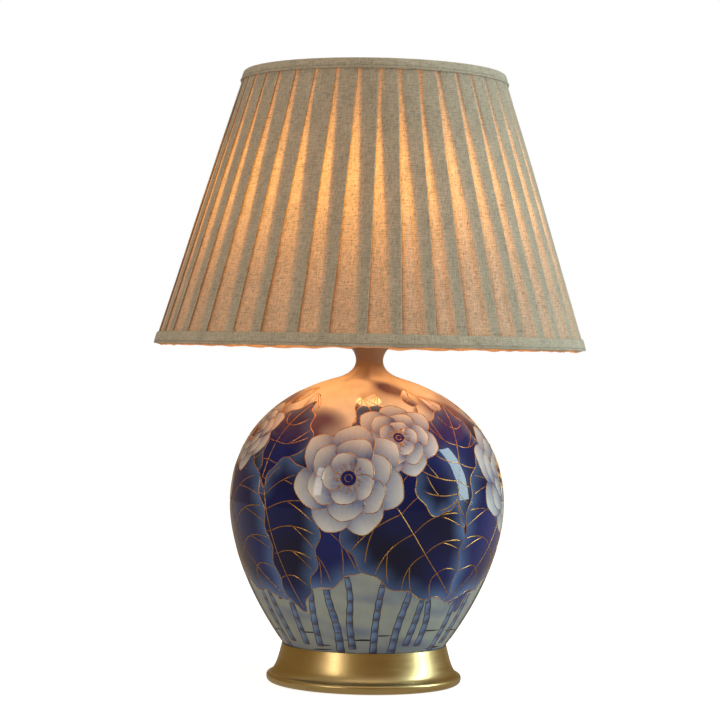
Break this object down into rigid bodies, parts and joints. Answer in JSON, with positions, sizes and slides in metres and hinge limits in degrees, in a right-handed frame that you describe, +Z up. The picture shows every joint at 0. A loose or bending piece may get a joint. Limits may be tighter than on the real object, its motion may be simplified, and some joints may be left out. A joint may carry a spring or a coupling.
{
  "type": "ginger jar table lamp",
  "caption": "Table lamp with a painted and glazed ginger jar body on a flared brass foot, a turn-knob bulb holder, a harp and a knife-pleated linen empire shade with cloth trims.",
  "frame": {"origin": "Centre of the felt under the foot, on the table", "axes": "+Z up along the axis of the jar and shade, -Y the front seen in the picture, cord inlet at the back on +Y"},
  "size_m": [0.4027, 0.4028, 0.5686],
  "materials": {
    "brushed_brass": "spun and brushed, lacquered",
    "polished_brass": "polished, lacquered",
    "zinc_steel": "zinc plated",
    "brassed_wire": "satin",
    "felt": "felt",
    "board": "fibreboard",
    "insulating_paper": "fibre sleeve",
    "black_phenolic": "moulded phenolic",
    "black_knob": "moulded",
    "rubber": "matte",
    "jar_glaze": "gloss glaze over painting with gold lines",
    "nickelled_shell": "rolled thread",
    "contact_brass": "stamped",
    "black_glass": "vitrite",
    "frosted_glass": "frosted",
    "backing_sheet": "translucent laminated backing",
    "pleated_linen": "slub linen, knife pleated",
    "trim_linen": "slub linen, folded band"
  },
  "bodies": {
    "base": {"felt_pad": "felt", "bottom_board": "board", "brass_foot": "brushed_brass", "cord_bushing": "black_phenolic", "foot_deck": "zinc_steel", "foot_washer": "zinc_steel", "lock_washer": "zinc_steel", "foot_nut": "zinc_steel", "jar_gasket": "rubber", "jar": "jar_glaze", "threaded_rod": "zinc_steel", "cap_gasket": "rubber", "vase_cap": "polished_brass", "cap_nut": "polished_brass", "harp_saddle": "zinc_steel", "socket_cap": "polished_brass", "socket_shell": "polished_brass", "socket_liner": "insulating_paper", "switch_core": "black_phenolic", "screw_shell": "nickelled_shell", "centre_contact": "contact_brass"},
    "harp_frame": {"harp": "polished_brass", "harp_stud": "polished_brass"},
    "left_sleeve": {"sleeve_left": "polished_brass"},
    "right_sleeve": {"sleeve_right": "polished_brass"},
    "shade": {"spider": "brassed_wire", "top_ring": "brassed_wire", "bottom_ring": "brassed_wire", "shade_backing": "backing_sheet", "pleated_cover": "pleated_linen", "top_trim": "trim_linen", "bottom_trim": "trim_linen"},
    "finial_cap": {"finial": "polished_brass"},
    "bulb": {"bulb_contact": "contact_brass", "bulb_insulator": "black_glass", "bulb_cap": "nickelled_shell", "bulb_glass": "frosted_glass"},
    "knob": {"switch_knob": "black_knob"}
  },
  "joints": [
    {"name": "harp_lift", "type": "slide", "parent": "base", "child": "harp_frame", "axis": [0, 0, 1], "range_m": [0, 0.03]},
    {"name": "left_sleeve_slide", "type": "slide", "parent": "harp_frame", "child": "left_sleeve", "axis": [0, 0, 1], "range_m": [0, 0.012]},
    {"name": "right_sleeve_slide", "type": "slide", "parent": "harp_frame", "child": "right_sleeve", "axis": [0, 0, 1], "range_m": [0, 0.012]},
    {"name": "shade_lift", "type": "slide", "parent": "harp_frame", "child": "shade", "axis": [0, 0, 1], "range_m": [0, 0.27]},
    {"name": "finial_turn", "type": "hinge", "parent": "shade", "child": "finial_cap", "pos_m": [0, 0, 0.555], "axis": [0, 0, 1], "continuous": true},
    {"name": "bulb_turn", "type": "hinge", "parent": "base", "child": "bulb", "pos_m": [0, 0, 0.4], "axis": [0, 0, 1], "continuous": true},
    {"name": "switch_turn", "type": "hinge", "parent": "base", "child": "knob", "pos_m": [0, 0, 0.3571], "axis": [0, -1, 0], "continuous": true}
  ]
}
